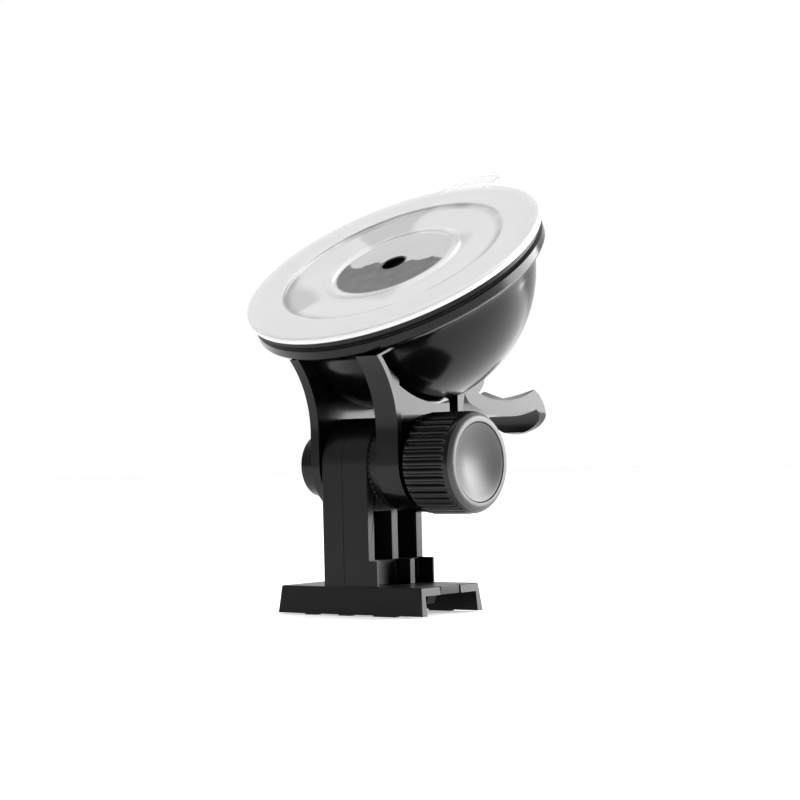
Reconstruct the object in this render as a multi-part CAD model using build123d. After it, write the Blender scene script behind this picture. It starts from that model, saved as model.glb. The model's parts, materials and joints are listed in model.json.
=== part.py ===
"""Windscreen suction mount for a dash camera.

A cam lever pulls the middle of a clear suction cup into a domed housing.  Two ears under the dome
straddle a toothed tilt hinge, a knurled knob clamps it, and the stalk below carries a channel that
slides over the camera's rail.

Frame: X runs along the hinge pin towards the knob, Y to the back, Z up.  The origin is the middle
of the channel's open lower side.  All sizes are in millimetres and degrees.
"""
import os
from math import cos, pi, radians, sin, sqrt, tan

from build123d import *

os.makedirs("parts", exist_ok=True)

# ---------------------------------------------------------------- clearances
FIT = 0.08            # radial play of a pin or shaft in its hole
SLIP = 0.2            # side play between parts that move past each other
SEAT = 0.05           # play of a part that is fixed in a pocket
FAR = 120.0           # beyond the whole object, for cuts

# ---------------------------------------------------------------- camera channel
CHANNEL_LENGTH = 40.2
CHANNEL_WIDTH = 22.0
CHANNEL_HEIGHT = 6.3
CHANNEL_DRAFT = 6.0
WEB = 1.8             # thickness of the top plate
RAIL_WIDTH = 18.0     # clear width between the flanges
LIP_HEIGHT = 0.3      # the three small lips stand this far below each flange
LIP_LENGTHS = (3.4, 3.4, 6.0)
LIP_CENTRES = (-11.0, -1.5, 9.5)
EDGE = 0.35           # broken edges of the mouldings

# ---------------------------------------------------------------- latch tongue
TONGUE_WIDTH = 6.6
TONGUE_SLIT = 0.35
TONGUE_ROOT_GAP = 0.9   # from the foot of the stalk to the tongue's root pocket
NUB_HEIGHT = 2.2
NUB_LENGTH = 3.0
NUB_WIDTH = 3.0
NUB_FROM_ROOT = 2.54  # from the line on which the tongue bends

# ---------------------------------------------------------------- stalk
STALK_LEFT = -7.3     # left face
SEAM = -1.5           # joint plane of the two halves
STALK_RIGHT = 5.4     # right face
STALK_FRONT = -10.2
STALK_BACK = 9.0
FOOT_RIGHT = 7.6      # the foot is wider than the stalk on this side
FOOT_HEIGHT = 5.5
RIB = 2.2             # front, middle and back ribs of the right half
RIB_MIDDLE = -0.85    # middle of the middle rib, in Y
RIB_FLOOR = 1.6       # wall left at the seam behind the pockets
POCKET_TOP = 22.5
FOOT_WALL = 0.6       # front and back walls of the hollow foot
FOOT_POST = 1.7       # post between its two pockets
FOOT_POST_Y = 2.3     # middle of that post
FOOT_CORE = 1.0       # wall of the foot round its screws
SCREW_R = 1.1         # self-tapping screws under the foot
SCREW_HEAD_R = 2.1
SCREW_HEAD = 1.2
SCREW_LENGTH = 6.0
SCREW_Y = 5.2

# ---------------------------------------------------------------- tilt hinge
HINGE_Z = 32.6
KNUCKLE_R = 10.2
TEETH = 48
TOOTH_HEIGHT = 0.6
TOOTH_INNER_R = 6.2
TOOTH_GAP = 0.15
BOLT_R = 2.5
BOLT_HEAD_FLATS = 8.0
BOLT_HEAD = 3.5
BOLT_TAIL = 8.5       # bolt past the outer face of the right ear

# ---------------------------------------------------------------- ears of the housing
EAR_LEFT_WALL = 2.3
EAR_RIGHT_WALL = 5.9  # right ear at its front edge and round the hinge
EAR_WEB = 2.45        # right ear behind its front edge
EAR_FLANGE = 1.5      # width of that thick front edge
EAR_R = 10.6
EAR_FRONT_LOW = (-10.6, 6.0)      # front edge of both ears, from the hinge axis
EAR_FRONT_MIDDLE = (-12.0, 15.1)
EAR_FRONT_TOP = (-17.0, 23.0)
EAR_TOP_FRONT = (-4.6, 27.5)      # hidden inside the dome
EAR_TOP_BACK = (22.0, 24.0)
EAR_BACK_TOP = (18.9, 17.0)
EAR_BACK_MIDDLE = (17.6, 11.6)
RELIEF_WIDTH = 1.1    # slot between the dome and the right ear
RELIEF_FRONT = -5.2   # front end of that slot, in Y
NOTCH = (12.7, 15.8)  # notch at its back end, in Y
NOTCH_LOW = 8.2       # bottom of the notch, above the hinge axis
RING_WALL = 2.4       # body of the toothed ring, without its teeth
RING_PEG_R = 1.2
RING_PEG = 2.0
RING_PEG_PITCH_R = 6.4
HEAD_BOSS_R = 7.0
HEAD_BOSS = 6.0
PLUG = 1.6            # cap that closes the bolt head's pocket
PLUG_SPIGOT = 3.0     # radius of the spigot behind the cap

# ---------------------------------------------------------------- knob
KNOB_R = 11.0
KNOB_FACE_R = 10.3
KNOB_LENGTH = 13.2
KNOB_RIDGES = 38
KNOB_GROOVE_R = 0.5
KNOB_CHAMFER = 1.6
CAP_R = 8.5
CAP_WALL = 1.4
DISH_DEPTH = 2.4
NUT_FLATS = 8.0
NUT_HEIGHT = 4.0
NUT_INSET = 1.2
WASHER_R = 6.5
WASHER = 0.6

# ---------------------------------------------------------------- suction cup, in the cup's frame
CUP_TILT = 32.3       # cup axis leans this far from vertical, to the front
CUP_X = -0.6
CUP_Y = 8.0
CUP_Z = 78.4
CUP_R = 35.0
CUP_EDGE = 1.5        # thickness of the outer lip
CUP_LAND = 0.6        # the flat under the lip reaches this far inside the rim ring
CUP_RECESS_R = 26.5   # stepped recess in the sucking face
CUP_RECESS = 0.5
CUP_DISH = 1.0        # depth of the sucking face at its middle
CUP_HUB_WALL = 1.4    # wall of the hub round the stem's disc
CUP_SKIN = 1.5        # cover over the stem's disc
CUP_EYE_R = 2.7       # hole in the middle of the sucking face
TAB_WIDTH = 13.0
TAB_REACH = 7.0
TAB_WALL = 1.3
TAB_SINK = 0.1        # top of the tab below the sucking face
TAB_CORNER = 4.5

# ---------------------------------------------------------------- stem and cam
STEM_DISC_R = 13.6
STEM_DISC = 2.2
STEM_R = 2.5
STEM_EYE_R = 3.2
STEM_EYE_WIDTH = 4.6
STROKE = 2.5          # pull of the cam on the stem
PIN_R = 1.5
CAM_R = 5.05
CAM_OFFSET = 2.71     # pin to the middle of the cam circle
CAM_PHASE = 4.8       # direction of that offset in the YZ plane
CAM_PLAY = 0.2
LEVER_WIDTH = 15.0
LEVER_SWING = 55.0
ARM_ROOT = (3.4, -3.6)            # side view of the arm, from the pin
ARM_TOP = (14.6, -6.0)
ARM_TIP = (27.6, -3.4)
ARM_END_MIDDLE = (30.9, -6.1)
ARM_END = (32.3, -9.4)
LIP_OUT_MIDDLE = (32.0, -12.0)
LIP_OUT = (30.8, -13.8)
LIP_IN = (29.4, -13.4)
LIP_IN_MIDDLE = (29.9, -10.8)
ARM_CORNER = (28.2, -8.0)
ARM_UNDER = (15.5, -9.65)
ARM_HEEL = (1.2, -6.4)
ARM_NECK = (-0.4, -4.4)           # hidden inside the cam
ARM_CORE = (1.0, -1.0)
LIP_TOP = -8.4        # below this height the lip is half an ellipse
LIP_FROM = 26.5       # and from this far behind the pin
THUMB_R = 12.0        # dish for the thumb across the end of the arm
THUMB_LOW = -5.5
FORK_BACK = 5.6       # depth of the fork round the stem's eye
FORK_LOW = 4.2        # bottom of the fork, below the pin
FORK_PLAY = 0.3

# ---------------------------------------------------------------- housing dome, in the cup's frame
DOME_R = 31.3
DOME_DROP = 3.0       # centre of the dome's ball below the cup plane
DOME_WALL = 2.2
RIM_R = 34.3
RIM_HEIGHT = 2.8
RIM_CHAMFER = 0.7
RIM_FOOT = 2.6        # height of the curve from the rim to the dome
RIM_BORE_R = 29.2
RIM_BORE = 5.0        # depth of the bore under the rim
RING_R = 34.0
RING_BORE_R = 30.6
RING_HEIGHT = 1.5
POCKET_WALL = 1.6
POCKET_ROOF = 2.0     # wall between the pocket and the cup's hub
POCKET_SIDE = 0.4     # lever to pocket wall
POCKET_FRONT = 7.6    # pocket wall in front of the stem
POCKET_FLOOR = -25.8  # floor that the cam pulls against
WEAR_PLATE = 0.8
GUIDE_R = 5.0
GUIDE_HEIGHT = 5.0

# ---------------------------------------------------------------- worked out
CUP = Location((CUP_X, CUP_Y, CUP_Z), (CUP_TILT, 0, 0))
AXIS_Y = -sin(radians(CUP_TILT))      # cup axis, pointing out of the sucking face
AXIS_Z = cos(radians(CUP_TILT))
FOOT_TOP = CHANNEL_HEIGHT + FOOT_HEIGHT
EAR_LEFT_IN = STALK_LEFT - SLIP
EAR_LEFT_OUT = EAR_LEFT_IN - EAR_LEFT_WALL
RING_FACE = STALK_RIGHT + TOOTH_HEIGHT + TOOTH_GAP
EAR_RIGHT_IN = RING_FACE + RING_WALL
EAR_RIGHT_OUT = EAR_RIGHT_IN + EAR_RIGHT_WALL
EAR_WEB_OUT = EAR_RIGHT_IN + EAR_WEB
BOSS_END = EAR_LEFT_OUT - HEAD_BOSS
HEAD_SEAT = BOSS_END + PLUG + BOLT_HEAD
PLUG_R = BOLT_HEAD_FLATS / sqrt(3) + 0.6
KNOB_BACK = EAR_RIGHT_OUT + WASHER
KNOB_FACE = KNOB_BACK + KNOB_LENGTH
RIM_TOP = -(CUP_EDGE + RING_HEIGHT)
CUP_HUB_R = STEM_DISC_R + SLIP + CUP_HUB_WALL
DISC_TOP = -(CUP_DISH + CUP_SKIN)
HUB_FLOOR = DISC_TOP - STEM_DISC - STROKE - SLIP
HUB_BOTTOM = HUB_FLOOR - CUP_SKIN
CAM_FACE = POCKET_FLOOR - WEAR_PLATE
PIN_DROP = -(CAM_FACE - CAM_PLAY - CAM_R) - CAM_OFFSET * cos(radians(LEVER_SWING / 2 + 90 - LEVER_SWING))
PIN_Y = CUP_Y - PIN_DROP * AXIS_Y
PIN_Z = CUP_Z - PIN_DROP * AXIS_Z
LEVER_X0 = CUP_X - LEVER_WIDTH / 2
POCKET_HALF = LEVER_WIDTH / 2 + POCKET_SIDE


# ---------------------------------------------------------------- helpers
def block(x0, x1, y0, y1, z0, z1):
    """Box between two corners."""
    return Pos((x0 + x1) / 2, (y0 + y1) / 2, (z0 + z1) / 2) * Box(x1 - x0, y1 - y0, z1 - z0)


def rod(x0, x1, radius, y=0.0, z=HINGE_Z):
    """Round bar along X."""
    return Pos((x0 + x1) / 2, y, z) * Rot(0, 90, 0) * Cylinder(radius, x1 - x0)


def hex_bar(x0, x1, flats):
    """Hexagonal bar along the hinge axis."""
    section = RegularPolygon(flats / sqrt(3), 6)
    return extrude(side_plane(x0) * Pos(0, HINGE_Z) * section, x1 - x0)


def post(x, y, z0, z1, radius):
    """Round bar along Z."""
    return Pos(x, y, (z0 + z1) / 2) * Cylinder(radius, z1 - z0)


def side_plane(x):
    """Drawing plane whose axes are the object's Y and Z, facing +X."""
    return Plane(origin=(x, 0, 0), x_dir=(0, 1, 0), z_dir=(1, 0, 0))


def side_solid(outline, x0, x1):
    """Carries a YZ outline from x0 to x1."""
    return extrude(side_plane(x0) * make_face(outline), x1 - x0)


def turned(points):
    """Solid of revolution about Z from (radius, z) corners."""
    section = make_face(Plane.XZ * Polyline(*points, close=True))
    return revolve(section, Axis.Z, 360)


def write(name, solid):
    """Saves one piece in its own file."""
    solid.label = name
    export_step(solid, f"parts/{name}.step")


# ---------------------------------------------------------------- base
def channel_plate():
    """Inverted U that slides over the camera's rail, with a slit for the latch tongue."""
    base = Pos(0, 0, LIP_HEIGHT) * Rectangle(CHANNEL_LENGTH, CHANNEL_WIDTH)
    body = extrude(base, CHANNEL_HEIGHT - LIP_HEIGHT, taper=CHANNEL_DRAFT)
    body = fillet(body.edges().filter_by(lambda e: e.center().Z > LIP_HEIGHT + 0.01), EDGE)
    half = RAIL_WIDTH / 2
    body -= block(-CHANNEL_LENGTH, CHANNEL_LENGTH, -half, half, -1, CHANNEL_HEIGHT - WEB)
    lip_wall = (CHANNEL_WIDTH - RAIL_WIDTH) / 2 - 0.5
    for side in (-1, 1):
        for centre, length in zip(LIP_CENTRES, LIP_LENGTHS):
            lip = block(centre - length / 2, centre + length / 2, half, half + lip_wall,
                        0, LIP_HEIGHT + 0.2)
            body += lip if side > 0 else mirror(lip, Plane.XZ)
    slit = TONGUE_WIDTH / 2 + TONGUE_SLIT
    body -= block(tongue_axis_x(), CHANNEL_LENGTH, -slit, slit, 0, CHANNEL_HEIGHT + 1)
    root_r = WEB / 2 + SLIP
    body -= tongue_barrel(root_r, slit)
    for x, y in screw_places():
        body -= post(x, y, 0, CHANNEL_HEIGHT + 1, SCREW_R + FIT)
        body -= screw_head(x, y, SEAT)
    return body


def tongue_axis_x():
    """Where the latch tongue bends."""
    return FOOT_RIGHT + TONGUE_ROOT_GAP + WEB / 2


def tongue_barrel(radius, half_width):
    """Round root of the tongue, lying along Y in the plate."""
    middle = CHANNEL_HEIGHT - WEB / 2
    return Pos(tongue_axis_x(), 0, middle) * Rot(90, 0, 0) * Cylinder(radius, 2 * half_width)


def latch_tongue():
    """Spring tongue with a nub that drops into the camera's rail."""
    half = TONGUE_WIDTH / 2
    end = CHANNEL_LENGTH / 2 - CHANNEL_HEIGHT * tan(radians(CHANNEL_DRAFT))
    low = CHANNEL_HEIGHT - WEB
    body = block(tongue_axis_x(), end, -half, half, low, CHANNEL_HEIGHT)
    body += tongue_barrel(WEB / 2, half)
    nub_start = tongue_axis_x() + NUB_FROM_ROOT
    nub_end = nub_start + NUB_LENGTH
    ramp = Plane.XZ * make_face(Polyline(
        (nub_start, low + 0.1), (nub_end - NUB_LENGTH * 0.45, low - NUB_HEIGHT),
        (nub_end - NUB_LENGTH * 0.3, low - NUB_HEIGHT), (nub_end, low + 0.1), close=True))
    body += extrude(ramp, NUB_WIDTH / 2, both=True)
    return body


def screw_places():
    """Centres of the four screws that hold the stalk, two in each half."""
    left = (STALK_LEFT + SEAM) / 2
    right = SEAM + (left - STALK_LEFT)
    return [(x, y) for x in (left, right) for y in (-SCREW_Y, SCREW_Y)]


def screw_head(x, y, play):
    """Countersunk head, flush with the underside of the web."""
    low = CHANNEL_HEIGHT - WEB
    cone = Cone(SCREW_HEAD_R + play, SCREW_R + play, SCREW_HEAD)
    return Pos(x, y, low + SCREW_HEAD / 2) * cone


def base_screws():
    """Four countersunk screws from under the web."""
    low = CHANNEL_HEIGHT - WEB
    screws = []
    for x, y in screw_places():
        screw = screw_head(x, y, 0) + post(x, y, low, low + SCREW_LENGTH, SCREW_R)
        recess = Pos(x, y, low + 0.35) * Box(2.4, 0.55, 0.7) + Pos(x, y, low + 0.35) * Box(0.55, 2.4, 0.7)
        screws.append(screw - recess)
    return Compound(children=screws)


# ---------------------------------------------------------------- stalk
def stalk_outline():
    """Stalk with its round knuckle and wider foot, seen from the side."""
    column = Pos((STALK_FRONT + STALK_BACK) / 2, (CHANNEL_HEIGHT + HINGE_Z) / 2) * Rectangle(
        STALK_BACK - STALK_FRONT, HINGE_Z - CHANNEL_HEIGHT)
    foot = Pos(0, CHANNEL_HEIGHT + FOOT_HEIGHT / 2) * Rectangle(2 * KNUCKLE_R, FOOT_HEIGHT)
    knuckle = Pos(0, HINGE_Z) * Circle(KNUCKLE_R)
    return column + foot + knuckle


def screw_holes():
    """Pilot holes for the four screws, open at the bottom of the foot."""
    top = CHANNEL_HEIGHT - WEB + SCREW_LENGTH + SLIP
    return [post(x, y, CHANNEL_HEIGHT - 1, top, SCREW_R + SEAT) for x, y in screw_places()]


def stalk_left():
    """Plain half of the stalk, on the bolt head's side."""
    body = extrude(side_plane(STALK_LEFT) * stalk_outline(), SEAM - STALK_LEFT)
    outer = body.faces().sort_by(Axis.X)[0]
    body = fillet(outer.edges(), EDGE)
    body -= rod(STALK_LEFT - 1, SEAM + 1, BOLT_R + FIT)
    return body - screw_holes()


def stalk_right():
    """Ribbed half of the stalk, with a hollow foot and the toothed face on its knuckle."""
    body = extrude(side_plane(SEAM) * stalk_outline(), STALK_RIGHT - SEAM)
    body += block(SEAM, FOOT_RIGHT, -KNUCKLE_R, KNUCKLE_R, CHANNEL_HEIGHT, FOOT_TOP)
    floor = SEAM + RIB_FLOOR
    for start, end in ((STALK_FRONT + RIB, RIB_MIDDLE - RIB / 2), (RIB_MIDDLE + RIB / 2, STALK_BACK - RIB)):
        body -= block(floor, STALK_RIGHT + 1, start, end, FOOT_TOP, POCKET_TOP)
    core = screw_places()[-1][0] + SCREW_R + FOOT_CORE
    inner = KNUCKLE_R - FOOT_WALL
    for start, end in ((-inner, FOOT_POST_Y - FOOT_POST / 2), (FOOT_POST_Y + FOOT_POST / 2, inner)):
        body -= block(core, FOOT_RIGHT + 1, start, end, CHANNEL_HEIGHT, FOOT_TOP + 0.01)
    body += teeth(STALK_RIGHT, 1, 0)
    body -= rod(SEAM - 1, STALK_RIGHT + 2, BOLT_R + FIT)
    return body - screw_holes()


def teeth(x, direction, phase):
    """Ring of radial teeth standing on the plane x, pointing along +X or -X."""
    pitch = 2 * pi / TEETH
    overlap = 0.1
    wedges = []
    for number in range(TEETH):
        angle = 360 / TEETH * number + phase
        sections = []
        for radius in (TOOTH_INNER_R, KNUCKLE_R - EDGE):
            half = radius * pitch / 2
            corners = [(x - direction * overlap, -half), (x, -half), (x + direction * TOOTH_HEIGHT, 0),
                       (x, half), (x - direction * overlap, half)]
            wire = Polyline(*[(a, b, radius) for a, b in corners], close=True)
            sections.append(make_face(wire))
        wedges.append(Pos(0, 0, HINGE_Z) * Rot(angle, 0, 0) * loft(sections))
    return wedges


# ---------------------------------------------------------------- hinge hardware
def hinge_bolt():
    """Hexagon-headed bolt through the ears and the knuckle."""
    tail = EAR_RIGHT_OUT + BOLT_TAIL
    body = hex_bar(HEAD_SEAT - BOLT_HEAD, HEAD_SEAT, BOLT_HEAD_FLATS)
    body += rod(HEAD_SEAT, tail, BOLT_R)
    return chamfer(body.faces().sort_by(Axis.X)[-1].edges(), 0.5)


def ring_pegs(play):
    """Two pegs that stop the toothed ring from turning in the ear."""
    pegs = []
    for angle in (90, 270):
        y = RING_PEG_PITCH_R * cos(radians(angle))
        z = HINGE_Z + RING_PEG_PITCH_R * sin(radians(angle))
        pegs.append(rod(EAR_RIGHT_IN, EAR_RIGHT_IN + RING_PEG + play, RING_PEG_R + play, y, z))
    return pegs


def tooth_ring():
    """Toothed ring pegged into the right ear, meshing with the stalk."""
    body = rod(RING_FACE, EAR_RIGHT_IN, KNUCKLE_R - EDGE)
    body += teeth(RING_FACE, -1, 180 / TEETH)
    body += ring_pegs(0)
    return body - rod(RING_FACE - 2, EAR_RIGHT_IN + 1, BOLT_R + FIT)


def clamp_washer():
    """Steel washer between the right ear and the knob."""
    return rod(EAR_RIGHT_OUT, KNOB_BACK, WASHER_R) - rod(EAR_RIGHT_OUT - 1, KNOB_BACK + 1, BOLT_R + FIT)


def knob_body():
    """Knurled knob with a nut pocket at the back and a cap pocket in its face."""
    straight = KNOB_FACE - KNOB_CHAMFER
    profile = Polyline((KNOB_BACK, 0), (KNOB_BACK, KNOB_R - 0.6), (KNOB_BACK + 0.6, KNOB_R),
                       (straight, KNOB_R), (KNOB_FACE - 0.5, KNOB_FACE_R + 0.1),
                       (KNOB_FACE, KNOB_FACE_R - 0.3), (KNOB_FACE, 0), close=True)
    body = Pos(0, 0, HINGE_Z) * revolve(make_face(Plane.XY * profile), Axis.X, 360)
    for number in range(KNOB_RIDGES):
        angle = 2 * pi * number / KNOB_RIDGES
        radius = KNOB_R + 0.12
        body -= rod(KNOB_BACK - 1, straight - 0.2, KNOB_GROOVE_R,
                    radius * cos(angle), HINGE_Z + radius * sin(angle))
    cap_back = KNOB_FACE - DISH_DEPTH - CAP_WALL
    body -= rod(cap_back - SEAT, KNOB_FACE + 1, CAP_R + SEAT)
    body -= rod(KNOB_BACK - 1, KNOB_FACE, BOLT_R + FIT)
    nut_back = KNOB_BACK + NUT_INSET
    body -= hex_bar(nut_back, nut_back + NUT_HEIGHT, NUT_FLATS + 2 * SEAT)
    body -= rod(nut_back + NUT_HEIGHT, cap_back, NUT_FLATS / sqrt(3) + SEAT)
    return body


def knob_nut():
    """Steel nut moulded into the knob."""
    nut_back = KNOB_BACK + NUT_INSET
    body = hex_bar(nut_back, nut_back + NUT_HEIGHT, NUT_FLATS)
    return body - rod(nut_back - 1, nut_back + NUT_HEIGHT + 1, BOLT_R + FIT / 2)


def knob_cap():
    """Dished cap pressed into the face of the knob."""
    body = rod(KNOB_FACE - DISH_DEPTH - CAP_WALL, KNOB_FACE - 0.15, CAP_R)
    rim = CAP_R - 0.25
    ball_r = (rim ** 2 + DISH_DEPTH ** 2) / (2 * DISH_DEPTH)
    dish = Pos(KNOB_FACE - 0.15 - DISH_DEPTH + ball_r, 0, HINGE_Z) * Sphere(ball_r)
    return body - dish


# ---------------------------------------------------------------- housing
def from_hinge(point):
    """A side-view point given from the hinge axis."""
    return (point[0], HINGE_Z + point[1])


def round_hinge(angle, radius):
    """Side-view point on a circle about the hinge axis."""
    return from_hinge((radius * cos(radians(angle)), radius * sin(radians(angle))))


def ear_outline():
    """Side view of an ear: round about the hinge, hollow front edge, wide under the dome."""
    front_low = from_hinge(EAR_FRONT_LOW)
    front_top = from_hinge(EAR_FRONT_TOP)
    back_low = round_hinge(20, EAR_R)
    bottom = round_hinge(-90, EAR_R)
    front_start = from_hinge((-EAR_R, 0))
    return (Line(front_start, front_low) + ThreePointArc(front_low, from_hinge(EAR_FRONT_MIDDLE), front_top)
            + Polyline(front_top, from_hinge(EAR_TOP_FRONT), from_hinge(EAR_TOP_BACK), from_hinge(EAR_BACK_TOP),
                       from_hinge(EAR_BACK_MIDDLE), back_low)
            + ThreePointArc(back_low, round_hinge(-35, EAR_R), bottom)
            + ThreePointArc(bottom, round_hinge(-135, EAR_R), front_start))


def ear_step():
    """Part of the right ear that is thinner than its front edge and its hinge boss."""
    plane = side_plane(EAR_WEB_OUT)
    step = plane * Pos(EAR_FLANGE, 0) * make_face(ear_outline())
    step -= plane * Pos(0, HINGE_Z) * Circle(EAR_R)
    step += plane * Pos(EAR_R + EAR_FLANGE, HINGE_Z + 2 * EAR_R) * Rectangle(2 * EAR_R, 3 * EAR_R)
    step -= plane * Pos(0, HINGE_Z) * Circle(EAR_R)
    return extrude(step, EAR_RIGHT_WALL)


def ball(radius):
    """Ball of the dome, in the cup's frame."""
    return Pos(0, 0, -DOME_DROP) * Sphere(radius)


def dome_solid():
    """Outside of the dome and its rim, filled, in the cup's frame."""
    below_rim = RIM_TOP - RIM_HEIGHT
    lower = ball(DOME_R) - block(-FAR, FAR, -FAR, FAR, below_rim, FAR)
    low = below_rim - RIM_FOOT
    foot = sqrt(DOME_R ** 2 - (low + DOME_DROP) ** 2)
    rim = turned([(0, RIM_TOP), (RIM_R - RIM_CHAMFER, RIM_TOP), (RIM_R, RIM_TOP - RIM_CHAMFER),
                  (RIM_R, below_rim + 0.3), (RIM_R - 0.5, below_rim - 0.4), (foot + 0.5, low + 0.9),
                  (foot, low), (0, low)])
    return lower + rim


def lever_pocket():
    """Space for the cam and the arm of the lever, open at the back, in the cup's frame."""
    return block(-POCKET_HALF, POCKET_HALF, -POCKET_FRONT, FAR, -FAR, POCKET_FLOOR)


def housing():
    """Dome, ears and bolt-head boss in one moulding."""
    wall = POCKET_WALL
    outer = CUP * dome_solid()
    side = POCKET_HALF + wall
    cavity = ball(DOME_R - DOME_WALL) & block(-FAR, FAR, -FAR, FAR, -FAR, RIM_TOP - 1)
    cavity += Pos(0, 0, RIM_TOP - (RIM_BORE - 1) / 2) * Cylinder(RIM_BORE_R, RIM_BORE + 1)
    cavity -= block(-side, side, -POCKET_FRONT - wall, FAR, -FAR, POCKET_FLOOR + POCKET_ROOF)
    cavity -= Pos(0, 0, POCKET_FLOOR + GUIDE_HEIGHT / 2) * Cylinder(GUIDE_R + wall, GUIDE_HEIGHT)
    body = side_solid(ear_outline(), EAR_RIGHT_IN, EAR_RIGHT_OUT) - ear_step()
    body += side_solid(ear_outline(), EAR_LEFT_OUT, EAR_LEFT_IN)
    body += outer
    body += rod(BOSS_END, EAR_LEFT_OUT, HEAD_BOSS_R)
    body -= CUP * cavity
    body -= CUP * lever_pocket()
    guide = Pos(0, 0, POCKET_FLOOR + GUIDE_HEIGHT / 2) * Cylinder(GUIDE_R, GUIDE_HEIGHT + 1)
    body -= CUP * guide
    body -= rod(BOSS_END - 1, EAR_RIGHT_OUT + 1, BOLT_R + FIT)
    body -= hex_bar(BOSS_END - 1, HEAD_SEAT, BOLT_HEAD_FLATS + 2 * SEAT)
    body -= rod(BOSS_END - 1, BOSS_END + PLUG / 2, PLUG_R + SEAT)
    body -= ring_pegs(SEAT)
    body -= relief_slot()
    return body


def relief_slot():
    """Curved slot and notch through the web of the right ear, along the foot of the dome."""
    inner = sqrt(DOME_R ** 2 - (EAR_WEB_OUT - CUP_X) ** 2)
    outer = inner + RELIEF_WIDTH
    centre_y = CUP_Y - DOME_DROP * AXIS_Y
    centre_z = CUP_Z - DOME_DROP * AXIS_Z
    ring = Pos(centre_y, centre_z) * (Circle(outer) - Circle(inner - RELIEF_WIDTH))
    back = NOTCH[1]
    window = Pos((RELIEF_FRONT + back) / 2, centre_z - outer) * Rectangle(back - RELIEF_FRONT, 2 * outer)
    low = HINGE_Z + NOTCH_LOW
    high = centre_z - inner
    notch = Pos((NOTCH[0] + back) / 2, (low + high) / 2) * Rectangle(back - NOTCH[0], high - low)
    cut = extrude(side_plane(EAR_RIGHT_IN - 1) * ((ring & window) + notch), EAR_RIGHT_WALL)
    return cut - CUP * ball(DOME_R)


def bolt_plug():
    """Round cap pressed over the bolt head's pocket."""
    edge = 0.4
    cap = rod(BOSS_END, BOSS_END + PLUG / 2, PLUG_R)
    cap = chamfer(cap.edges().sort_by(Axis.X)[0], edge)
    return cap + rod(BOSS_END, HEAD_SEAT - BOLT_HEAD - SEAT, PLUG_SPIGOT)


def rim_ring():
    """Soft ring between the rim of the dome and the cup."""
    low = RIM_TOP
    top = -CUP_EDGE
    return CUP * turned([(RING_BORE_R, low), (RING_R - 0.2, low), (RING_R, low + 0.3), (RING_R - 0.35, top),
                         (RING_BORE_R, top)])


def wear_plate():
    """Hard plate in the pocket's floor that the cam rubs on."""
    half = POCKET_HALF - SEAT
    plate = block(-half, half, -POCKET_FRONT + SEAT, 9.0, CAM_FACE, POCKET_FLOOR)
    return CUP * (plate - Cylinder(STEM_R + FORK_PLAY, FAR))


def stem_guide():
    """Bush that the stem slides through."""
    bush = Pos(0, 0, POCKET_FLOOR + GUIDE_HEIGHT / 2) * Cylinder(GUIDE_R - SEAT, GUIDE_HEIGHT)
    flange = Pos(0, 0, POCKET_FLOOR + GUIDE_HEIGHT + 0.6) * Cylinder(GUIDE_R + 1.2, 1.2)
    return CUP * (bush + flange - Cylinder(STEM_R + FIT, FAR))


# ---------------------------------------------------------------- cup and stem
def suction_cup():
    """Clear soft cup with a hub that holds the stem's disc and a pull tab on its edge."""
    land = RING_BORE_R - CUP_LAND
    cup = turned([
        (CUP_EYE_R, -CUP_DISH), (CUP_RECESS_R - 9.0, -CUP_DISH), (CUP_RECESS_R - 0.6, -CUP_RECESS),
        (CUP_RECESS_R, 0), (CUP_R - 0.5, 0), (CUP_R, -0.45), (CUP_R - 0.1, -CUP_EDGE + 0.25),
        (CUP_R - 0.4, -CUP_EDGE), (land, -CUP_EDGE), (CUP_HUB_R + 2.0, DISC_TOP - 0.6),
        (CUP_HUB_R, DISC_TOP - 2.0), (CUP_HUB_R - 0.3, HUB_BOTTOM), (STEM_R + FORK_PLAY, HUB_BOTTOM),
        (STEM_R + FORK_PLAY, HUB_FLOOR), (STEM_DISC_R + SLIP, HUB_FLOOR), (STEM_DISC_R + SLIP, DISC_TOP),
        (CUP_EYE_R, DISC_TOP)])
    half = TAB_WIDTH / 2
    tab = block(-half, half, CUP_R - 1, CUP_R + TAB_REACH, -TAB_SINK - TAB_WALL, -TAB_SINK)
    tab = fillet(tab.edges().filter_by(Axis.Z).sort_by(Axis.Y)[-2:], TAB_CORNER)
    return CUP * (cup + tab)


def cup_stem():
    """Disc, shaft and eye that pull the middle of the cup."""
    disc = Pos(0, 0, DISC_TOP - SEAT - STEM_DISC / 2) * Cylinder(STEM_DISC_R, STEM_DISC)
    disc -= Pos(0, 0, DISC_TOP) * Cylinder(CUP_EYE_R - 0.6, 2 * STEM_DISC - 1.0)
    shaft_top = DISC_TOP - STEM_DISC
    shaft = Pos(0, 0, (shaft_top - PIN_DROP) / 2) * Cylinder(STEM_R, shaft_top + PIN_DROP)
    eye = Pos(0, 0, -PIN_DROP) * Rot(0, 90, 0) * Cylinder(STEM_EYE_R, STEM_EYE_WIDTH)
    hole = Pos(0, 0, -PIN_DROP) * Rot(0, 90, 0) * Cylinder(PIN_R + FIT, 20)
    return CUP * (disc + shaft + eye - hole)


# ---------------------------------------------------------------- cam lever
def from_pin(point):
    """A side-view point given from the lever's pin."""
    return (PIN_Y + point[0], PIN_Z + point[1])


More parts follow.
